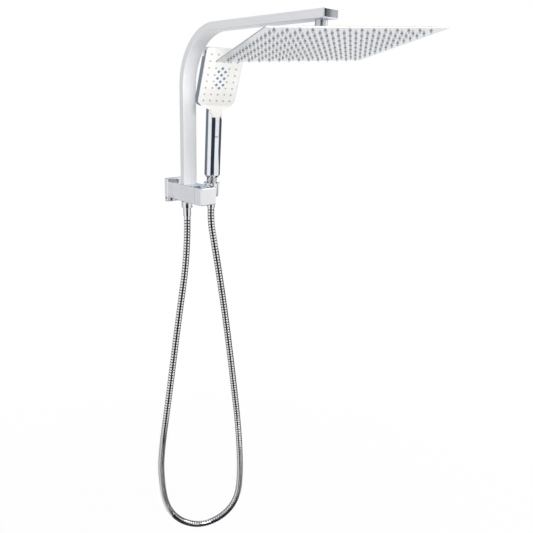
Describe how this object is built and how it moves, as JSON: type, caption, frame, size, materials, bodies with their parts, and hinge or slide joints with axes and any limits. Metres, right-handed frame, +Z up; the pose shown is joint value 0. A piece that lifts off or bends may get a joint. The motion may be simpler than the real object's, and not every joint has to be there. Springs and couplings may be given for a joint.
{
  "type": "rainfall shower column",
  "caption": "Wall-hung chrome shower column: square diverter body, flat gooseneck arm with a slim square rain head, and a handset in a side holder on a ribbed hose loop.",
  "frame": {"origin": "centre of the wall flange's back face, on the water inlet's axis", "axes": "+X to the right of someone who faces the wall, +Y into the wall, +Z up"},
  "size_m": [0.3902, 0.6634, 1.3014],
  "materials": {
    "flange_chrome": "polished chrome plate",
    "body_chrome": "polished chrome plate",
    "knob_chrome": "polished chrome plate",
    "dark_screw": "blackened steel",
    "brass": "turned brass",
    "rubber": "black rubber",
    "cartridge_plastic": "moulded engineering plastic",
    "ceramic": "lapped ceramic disc, weighed as plastic",
    "arm_chrome": "polished chrome plate",
    "nipple_chrome": "polished chrome plate",
    "rain_head_steel": "mirror-polished stainless sheet",
    "silicone_grey": "grey silicone",
    "silicone_blue": "blue-grey silicone",
    "holder_chrome": "polished chrome plate",
    "hose_fitting_chrome": "polished chrome plate",
    "hose_steel": "wound stainless strip",
    "handset_chrome": "chrome-plated moulding",
    "handset_white": "off-white glossy moulding",
    "handset_inner": "moulded plastic",
    "spring_steel": "spring wire"
  },
  "bodies": {
    "column": {"wall_flange": "flange_chrome", "diverter_body": "body_chrome", "flange_grub_screw": "dark_screw", "column_fixing_screw": "dark_screw", "holder_screw": "dark_screw", "column_spigot": "brass", "cartridge_nut": "brass", "ball_stem": "brass", "hose_outlet_nipple": "brass", "inlet_washer": "rubber", "cartridge_seal": "rubber", "column_seal": "rubber", "ball_stem_washer": "rubber", "hose_outlet_washer": "rubber", "cartridge_housing": "cartridge_plastic", "fixed_disc": "ceramic", "column_arm": "arm_chrome", "arm_end_cap": "arm_chrome", "arm_outlet_nipple": "nipple_chrome", "handset_holder": "holder_chrome", "hose_outlet_nut": "hose_fitting_chrome", "hose_ferrule_lower": "hose_fitting_chrome", "shower_hose": "hose_steel"},
    "rain_head": {"rain_head_boss": "nipple_chrome", "swivel_collar": "nipple_chrome", "rain_head_top_plate": "rain_head_steel", "rain_head_face_plate": "rain_head_steel", "rain_nozzles": "silicone_grey"},
    "ball_ring": {"ball_seat_ring": "cartridge_plastic"},
    "diverter_knob": {"diverter_knob": "knob_chrome", "diverter_spindle": "brass", "moving_disc": "ceramic", "knob_grub_screw": "dark_screw"},
    "hose_end": {"hose_ferrule_upper": "hose_fitting_chrome"},
    "handset": {"hose_cone_nut": "hose_fitting_chrome", "handset_washer": "rubber", "handset_inlet": "handset_inner", "handset_water_tube": "handset_inner", "handset_body": "handset_chrome", "handset_face": "handset_white", "handset_nozzles": "silicone_grey", "handset_jets": "silicone_blue"},
    "mode_button": {"mode_button": "handset_chrome", "button_spring": "spring_steel"}
  },
  "joints": [
    {"name": "diverter_turn", "type": "hinge", "parent": "column", "child": "diverter_knob", "pos_m": [0, -0.112, 0], "axis": [0, -1, 0], "range_deg": [0, 90]},
    {"name": "rain_head_tilt", "type": "hinge", "parent": "column", "child": "ball_ring", "pos_m": [0, -0.4672, 0.329], "axis": [1, 0, 0], "range_deg": [-8, 15]},
    {"name": "rain_head_spin", "type": "hinge", "parent": "ball_ring", "child": "rain_head", "pos_m": [0, -0.4672, 0.329], "axis": [0, 0.1253, 0.9921], "continuous": true},
    {"name": "handset_lift", "type": "slide", "parent": "column", "child": "hose_end", "axis": [0, -0.0576, 0.9983], "range_m": [0, 0.015], "deforming": ["shower_hose"]},
    {"name": "handset_spin", "type": "hinge", "parent": "hose_end", "child": "handset", "pos_m": [0.04, -0.093, 0], "axis": [0, -0.0576, 0.9983], "range_deg": [-18, 110]},
    {"name": "button_press", "type": "slide", "parent": "handset", "child": "mode_button", "axis": [0.2756, 0.9597, 0.0553], "range_m": [0, 0.002], "stiffness_N_per_m": 1200, "springref_m": -0.002}
  ]
}
